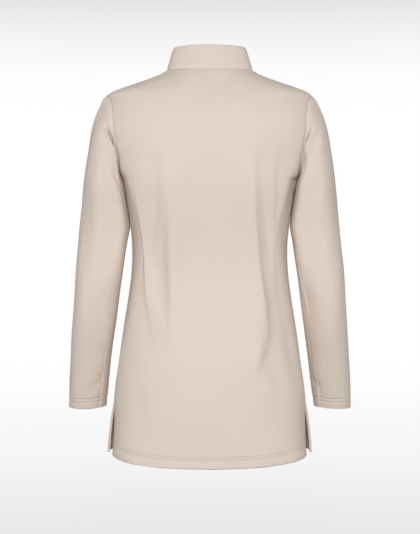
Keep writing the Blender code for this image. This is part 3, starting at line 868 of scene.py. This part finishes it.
def cloth_uv(points, closed):
    """Places on the cloth in metres: across from the first column, and up from the first row."""
    wide = wrapped(points, closed)
    across = arc_lengths(wide, 1)
    across -= across[:, wide.shape[1] // 2][:, None]
    up = arc_lengths(wide, 0)
    return np.stack([across, np.broadcast_to(up.mean(1, keepdims=True), across.shape)], axis=2)


def stitches(name, runs, material):
    """Rows of short threads along runs, each a pair of surface points and normals in order."""
    stations = np.linspace(0, 1, len(THREAD_LIFTS))
    lifts = THREAD_RADIUS * np.array(THREAD_LIFTS)
    swells = THREAD_RADIUS * np.array(THREAD_SWELLS)
    turn = np.linspace(0, 2 * math.pi, THREAD_SIDES, endpoint=False)
    blocks = []
    for points, normals in runs:
        run = np.concatenate([[0], np.cumsum(np.linalg.norm(np.diff(points, axis=0), axis=1))])
        count = int(run[-1] / STITCH_PITCH)
        starts = (run[-1] - count * STITCH_PITCH) / 2 + STITCH_PITCH * np.arange(count)
        at = starts[:, None] + STITCH_LENGTH * stations
        place = np.stack([np.interp(at, run, points[:, k]) for k in range(3)], axis=2)
        normal = unit(np.stack([np.interp(at, run, normals[:, k]) for k in range(3)], axis=2))
        ahead = unit(place[:, -1:] - place[:, :1])
        side = unit(np.cross(normal, ahead))
        centre = place + normal * lifts[None, :, None]
        ring = np.cos(turn)[:, None] * side[:, :, None] + np.sin(turn)[:, None] * normal[:, :, None]
        threads = centre[:, :, None] + ring * swells[None, :, None, None]
        blocks.append(threads.reshape(-1, len(stations), THREAD_SIDES, 3))
    rings = np.concatenate(blocks)
    numbers = np.arange(rings[..., 0].size).reshape(rings.shape[:3])
    beside = np.roll(numbers, -1, axis=2)
    sides = np.stack([numbers[:, :-1], beside[:, :-1], beside[:, 1:], numbers[:, 1:]], -1)
    ends = [numbers[:, row][:, corners] for row, corners in THREAD_ENDS]
    mesh = mesh_from(name, rings.reshape(-1, 3), np.concatenate([sides.reshape(-1, 4), *ends]))
    return add_piece(name, mesh, material)


# Knit and colour: what the cloth's height and shade take from the ribs, the loops and the two noises
CLOTH_COLOUR = (0.712, 0.616, 0.540, 1.0)
CLOTH_SHADE = (0.684, 0.586, 0.508, 1.0)
CLOTH_SHINE = {
    "Metallic": 0.0, "Specular IOR Level": 0.32, "Sheen Weight": 0.08, "Sheen Roughness": 0.45,
}
CLOTH_ROUGHNESS = (0.72, 0.12)
CLOUD = {"Scale": 9.0, "Detail": 3.0}
FLECK = {"Scale": 900.0, "Detail": 2.0}
WALE = 0.0011
COURSE = 0.0009
LOOP_SLANT = 2.4
KNIT_SHARES = {"loop": 0.35, "fleck": 0.5}
KNIT_RELIEF = {"Strength": 0.55, "Distance": 0.00012}
COLOUR_SHARES = {"cloud": 0.55, "rib": 0.25, "fleck": 0.2}
THREAD_COLOUR = (0.640, 0.530, 0.445, 1.0)
THREAD_SHINE = {"Specular IOR Level": 0.5, "Sheen Weight": 0.1, "Roughness": 0.5}
PLY_SCALE = 1500.0


def feed(tree, node, inputs):
    """Gives a node's inputs their values, or links them to another node's output."""
    for name, value in inputs.items():
        if isinstance(value, bpy.types.NodeSocket):
            tree.links.new(value, node.inputs[name])
        else:
            node.inputs[name].default_value = value


def add_node(tree, kind, inputs=None, **settings):
    node = tree.nodes.new(kind)
    for name, value in settings.items():
        setattr(node, name, value)
    feed(tree, node, inputs or {})
    return node


def calculated(tree, operation, *values):
    """The output of a node that does a sum with numbers or other nodes' outputs."""
    node = add_node(tree, "ShaderNodeMath", dict(enumerate(values)), operation=operation)
    return node.outputs[0]


def weighted(tree, value, share, rest=None):
    """A share of a value, added to the rest where there is one."""
    part = calculated(tree, "MULTIPLY", value, share)
    return part if rest is None else calculated(tree, "ADD", rest, part)


def mixed(tree, factor, first, second):
    inputs = {"A": first, "B": second, "Factor": factor}
    return add_node(tree, "ShaderNodeMix", inputs, data_type="RGBA").outputs["Result"]


def new_material(name):
    material = bpy.data.materials.new(name)
    material.use_nodes = True
    return material, material.node_tree, material.node_tree.nodes["Principled BSDF"]


def cloth_material():
    """Fine interlock jersey: rows of V stitches, a soft sheen, and a faint cloudiness of its dye."""
    material, tree, shader = new_material("interlock_jersey")
    place = {"Vector": add_node(tree, "ShaderNodeTexCoord").outputs["Object"]}
    cloud = add_node(tree, "ShaderNodeTexNoise", CLOUD | place).outputs["Fac"]
    fleck = add_node(tree, "ShaderNodeTexNoise", FLECK | place).outputs["Fac"]
    uv = add_node(tree, "ShaderNodeUVMap", uv_map="cloth").outputs["UV"]
    cloth = add_node(tree, "ShaderNodeSeparateXYZ", {"Vector": uv}).outputs

    wale = calculated(tree, "MULTIPLY", cloth["X"], math.pi / WALE)
    rib = calculated(tree, "ABSOLUTE", calculated(tree, "SINE", wale))
    course = calculated(tree, "MULTIPLY", cloth["Y"], 2 * math.pi / COURSE)
    loop = calculated(tree, "SINE", weighted(tree, rib, LOOP_SLANT, course))
    knit = weighted(tree, loop, KNIT_SHARES["loop"], rib)
    knit = weighted(tree, fleck, KNIT_SHARES["fleck"], knit)
    bump = add_node(tree, "ShaderNodeBump", KNIT_RELIEF | {"Height": knit})

    shade = weighted(tree, cloud, COLOUR_SHARES["cloud"])
    shade = weighted(tree, rib, COLOUR_SHARES["rib"], shade)
    shade = weighted(tree, fleck, COLOUR_SHARES["fleck"], shade)
    lowest, spread = CLOTH_ROUGHNESS
    feed(tree, shader, CLOTH_SHINE | {
        "Normal": bump.outputs["Normal"],
        "Base Color": mixed(tree, shade, CLOTH_SHADE, CLOTH_COLOUR),
        "Roughness": calculated(tree, "ADD", weighted(tree, fleck, spread), lowest),
    })
    return material


def thread_material():
    """Polyester sewing thread with its ply as a fine twist."""
    material, tree, shader = new_material("sewing_thread")
    place = add_node(tree, "ShaderNodeTexCoord").outputs["Object"]
    ply = {"Vector": place, "Scale": PLY_SCALE}
    ply = add_node(tree, "ShaderNodeTexWave", ply, bands_direction="DIAGONAL").outputs["Fac"]
    feed(tree, shader, THREAD_SHINE | {"Base Color": mixed(tree, ply, THREAD_COLOUR, CLOTH_COLOUR)})
    return material


PANELS = ("back", "front")
SLEEVES = ("left_sleeve", "right_sleeve")
NODES = {
    "back": "back_panel", "front": "front_panel", "left_sleeve": "left_sleeve",
    "right_sleeve": "right_sleeve", "collar": "collar",
}


def free_edges(name, points):
    """1 at the points on an open edge, the hem, slits, cuffs and collar top, and 0 at the seams."""
    free = np.zeros(points.shape[:2])
    if name in PANELS:
        free[0] = 1
        free[:FIRST_SIDE_ROW, (0, -1)] = 1
    else:
        free[-1] = 1
    return free


def wall_depth(name, points):
    """The wall's depth: double in the collar, and where hem, cuffs and slit edges are turned in."""
    up = arc_lengths(points, 0)
    if name == "collar":
        return DOUBLE_WALL
    if name in SLEEVES:
        return np.where(up[-1:] - up < HEM_TURN, DOUBLE_WALL, WALL)
    row = np.arange(len(points))[:, None]
    in_slit = (side_distance(points) < SLIT_TURN) & (row < FIRST_SIDE_ROW)
    return np.where((up < HEM_TURN) | in_slit, DOUBLE_WALL, WALL)


def seam_normals(forms, normals):
    """Makes pieces that meet at a point share one normal there."""
    total = {}
    edges = {}
    for name, points in forms.items():
        edge = np.zeros(points.shape[:2], bool)
        edge[[0, -1]] = True
        edge[:, [0, -1]] = True
        keys = [tuple(np.round(point, SAME_POINT_DIGITS) + 0.0) for point in points[edge]]
        for key, normal in zip(keys, normals[name][edge]):
            total[key] = total.get(key, 0) + normal
        edges[name] = edge, keys
    for name, (edge, keys) in edges.items():
        normals[name][edge] = [unit(total[key]) for key in keys]


def row_at(distances, wanted):
    """The row of a grid that lies nearest to a distance along it."""
    return int(np.argmin(np.abs(distances.mean(axis=1) - wanted)))


def stitch_runs(name, form):
    """The rows and columns of a grid that each row of stitches follows."""
    up = arc_lengths(form, 0)
    if name in SLEEVES:
        ring = np.append(np.arange(form.shape[1]), 0)
        return [(row_at(up, up[-1].mean() - line), ring) for line in CUFF_STITCH_LINES]
    edge = arc_lengths(form, 1)[:FIRST_SIDE_ROW].mean(0)
    column = int(np.argmin(np.abs(edge - SLIT_STITCH_LINE)))
    slit = slice(SLIT_STITCH_FIRST_ROW, FIRST_SIDE_ROW + 1)
    hem = [(row_at(up, line), slice(1, -1)) for line in HEM_STITCH_LINES]
    return [*hem, (slit, column), (slit, -1 - column)]


def garment_forms():
    """Each piece without its creases, as a grid of points."""
    back = panel("back")
    front = panel("front")
    return {
        "back": back,
        "front": front,
        "left_sleeve": sleeve(armhole_ring(back, front, True), True),
        "right_sleeve": sleeve(armhole_ring(back, front, False), False),
        "collar": collar(back, front),
    }


def dressed_forms(forms, normals):
    """Each piece with its creases, folds and grooves."""
    dressed = {
        "back": dress_panel("back", forms["back"], BACK_CREASES, BACK_FOLDS, normals["back"]),
        "front": dress_panel("front", forms["front"], FRONT_CREASES, FRONT_FOLDS, normals["front"]),
    }
    for name, creases in zip(SLEEVES, (LEFT_SLEEVE_CREASES, RIGHT_SLEEVE_CREASES)):
        dressed[name] = dress_sleeve(name, forms[name], creases, normals[name])
    dressed["collar"] = dress_collar(forms["collar"], normals["collar"])
    return dressed


def build_garment():
    cloth = cloth_material()
    thread = thread_material()
    forms = garment_forms()
    normals = {name: grid_normals(points, name not in PANELS) for name, points in forms.items()}
    seam_normals(forms, normals)
    dressed = dressed_forms(forms, normals)
    for name, form in forms.items():
        closed = name not in PANELS
        piece = shell(
            name + "_cloth", dressed[name], normals[name], wall_depth(name, form), closed,
            free_edges(name, form), cloth_uv(form, closed), cloth,
        )
        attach(piece, "root")
        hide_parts(NODES[name])

    for name in PANELS + SLEEVES:
        runs = [(dressed[name][at], normals[name][at]) for at in stitch_runs(name, forms[name])]
        piece = stitches(name + "_stitches", runs, thread)
        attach(piece, "root")


# Camera: level with the middle of the garment, behind it, looking slightly down. The picture's
# height, the focal length, the tilt and the shift are in the photograph's pixels.
CAMERA_PLACE = (0.0, 2.4, -0.2659)
PICTURE_HEIGHT = 534
FOCAL_LENGTH = 1218
CAMERA_PITCH = math.atan(60.7 / FOCAL_LENGTH)
CAMERA_SHIFT_X = 0.25 / PICTURE_HEIGHT
SENSOR_HEIGHT = 24

# Studio: a floor and a wall all round that glow with painted light, with its grey levels from the
# floor up to the wall's top
FLOOR_Z = -1.80
FLOOR_RADIUS = 3.0
WALL_RADIUS = 4.5
WALL_TOP_Z = 3.0
LID_Z = 3.8
STUDIO_AXIS_RADIUS = 0.001
STUDIO_BEND_STEPS = 17
STUDIO_SIDES = 96
# The grey levels paint the light's falloff: brightest at the garment's height, painted shade towards
# the floor and the top
STUDIO_PAINTED_LIGHT_STOPS = (
    (0.0, 0.80), (0.0171, 0.839), (0.033, 0.871), (0.0517, 0.913), (0.0949, 0.947), (0.1188, 0.982),
    (0.145, 1.0), (0.42, 1.0), (0.449, 0.995), (0.4769, 0.973), (0.5048, 0.922), (0.5326, 0.855),
    (0.5605, 0.768), (1.0, 0.60),
)

# Even light from all round, by how high it comes from: straight below at 0 and straight above at 1
WORLD_STOPS = ((0.2, 0.19), (0.5, 0.27), (0.62, 0.27), (0.9, 0.43))

# Soft boxes: one behind the camera, and a weaker one on each side
LIGHT_COLUMNS = ("name", "place", "size", "power")
LIGHTS = (
    ("front_box", (0.0, 2.9, 0.0), (1.6, 1.6), 68),
    ("left_box", (3.0, 0.5, 0.0), (1.6, 2.2), 14.5),
    ("right_box", (-3.0, 0.5, 0.0), (1.6, 2.2), 11.8),
)
LIGHT_TARGET = (0.0, 0.0, -0.35)
LIGHT_COLOUR = (1.0, 0.994, 0.992)


def add_camera():
    data = bpy.data.cameras.new("camera")
    data.sensor_fit = "VERTICAL"
    data.sensor_height = SENSOR_HEIGHT
    data.lens = SENSOR_HEIGHT * FOCAL_LENGTH / PICTURE_HEIGHT
    data.shift_x = CAMERA_SHIFT_X
    camera = bpy.data.objects.new("camera", data)
    camera.location = CAMERA_PLACE
    camera.rotation_euler = (math.pi / 2 - CAMERA_PITCH, 0, math.pi)
    bpy.context.scene.collection.objects.link(camera)
    bpy.context.scene.camera = camera


def add_light(name, place, size, power):
    """A soft box that shines on the garment."""
    data = bpy.data.lights.new(name, "AREA")
    data.shape = "RECTANGLE"
    data.size, data.size_y = size
    data.energy = power
    data.color = LIGHT_COLOUR
    light = bpy.data.objects.new(name, data)
    light.location = place
    x, y, z = np.array(LIGHT_TARGET) - np.array(place)
    tilt = math.atan2(z, math.hypot(x, y))
    light.rotation_euler = (math.pi / 2 + tilt, 0, math.atan2(y, x) - math.pi / 2)
    light.visible_camera = False
    bpy.context.scene.collection.objects.link(light)


def grey_ramp(tree, place, low, high, stops):
    """A grey that follows the height of a place, between low and high, through the stops."""
    height = add_node(tree, "ShaderNodeSeparateXYZ", {"Vector": place}).outputs["Z"]
    level = {"From Min": low, "From Max": high, "Value": height}
    level = add_node(tree, "ShaderNodeMapRange", level).outputs["Result"]
    ramp = add_node(tree, "ShaderNodeValToRGB", {"Fac": level})
    elements = ramp.color_ramp.elements
    while len(elements) < len(stops):
        elements.new(0.5)
    for element, (position, value) in zip(elements, stops):
        element.position = position
        element.color = (value, value, value, 1.0)
    return ramp.outputs["Color"]


# An emission that paints light on the studio: its grey by height is painted light and painted shade
def painted_light_studio_material():
    material, tree, _ = new_material("studio_painted_light")
    tree.nodes.clear()
    place = add_node(tree, "ShaderNodeTexCoord").outputs["Object"]
    grey = grey_ramp(tree, place, FLOOR_Z, WALL_TOP_Z, STUDIO_PAINTED_LIGHT_STOPS)
    painted_glow = add_node(tree, "ShaderNodeEmission", {"Color": grey})
    add_node(tree, "ShaderNodeOutputMaterial", {"Surface": painted_glow.outputs["Emission"]})
    return material


def add_studio():
    """A pale floor that sweeps up into a pale wall all round, glowing with painted light and shade,
    which only the camera sees.
    """
    profile = [(STUDIO_AXIS_RADIUS, FLOOR_Z), (FLOOR_RADIUS, FLOOR_Z)]
    bend = WALL_RADIUS - FLOOR_RADIUS
    for angle in np.linspace(0, math.pi / 2, STUDIO_BEND_STEPS)[1:]:
        z = FLOOR_Z + bend * (1 - math.cos(angle))
        profile.append((FLOOR_RADIUS + bend * math.sin(angle), z))
    profile += [(WALL_RADIUS, WALL_TOP_Z), (STUDIO_AXIS_RADIUS, LID_Z)]
    turn = np.linspace(0, 2 * math.pi, STUDIO_SIDES, endpoint=False)
    rings = np.array([[(r * math.cos(a), r * math.sin(a), z) for a in turn] for r, z in profile])
    rows, columns = cell_corners(len(profile), STUDIO_SIDES, True)
    faces = (rows * STUDIO_SIDES + columns % STUDIO_SIDES)[:, ::-1]
    mesh = mesh_from("studio", rings.reshape(-1, 3), faces)
    studio = add_piece("studio", mesh, painted_light_studio_material())
    for rays in ("diffuse", "glossy", "shadow", "transmission"):
        setattr(studio, "visible_" + rays, False)


def add_world():
    """Even light from all round, weaker from below and stronger from above."""
    world = bpy.data.worlds.new("studio_air")
    world.use_nodes = True
    tree = world.node_tree
    place = add_node(tree, "ShaderNodeTexCoord").outputs["Generated"]
    feed(tree, tree.nodes["Background"], {"Color": grey_ramp(tree, place, -1.0, 1.0, WORLD_STOPS)})
    bpy.context.scene.world = world


build_garment()
add_studio()
add_world()
for light in LIGHTS:
    add_light(**dict(zip(LIGHT_COLUMNS, light)))
add_camera()
bpy.context.scene.view_settings.view_transform = "Standard"
